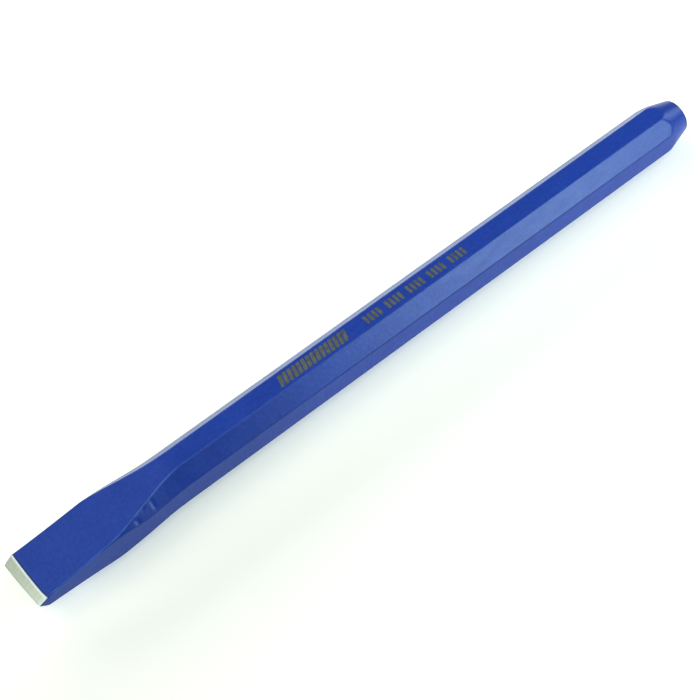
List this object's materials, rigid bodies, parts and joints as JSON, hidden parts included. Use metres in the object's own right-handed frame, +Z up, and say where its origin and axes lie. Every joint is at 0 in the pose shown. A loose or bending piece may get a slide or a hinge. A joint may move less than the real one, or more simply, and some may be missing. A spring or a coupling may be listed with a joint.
{
  "type": "cold chisel",
  "caption": "Cold chisel: lacquered octagonal steel bar forged into a flat flared blade, with bare ground bevels and a turned conical striking head.",
  "frame": {"origin": "middle of the tool's length, on the surface that its bottom flat rests on", "axes": "+X along the bar towards the striking end, so the cutting edge faces -X; +Z up, square to the broad faces of the blade; +Y to the left looking along +X"},
  "size_m": [0.3, 0.0222, 0.0183],
  "materials": {
    "ground_steel": "surface ground, fine scratches across the cutting edge",
    "blue_lacquer": "satin-gloss lacquer with a fine orange peel over forged steel"
  },
  "bodies": {
    "root": {"steel_forging": "ground_steel", "lacquer_coat": "blue_lacquer"}
  },
  "joints": []
}
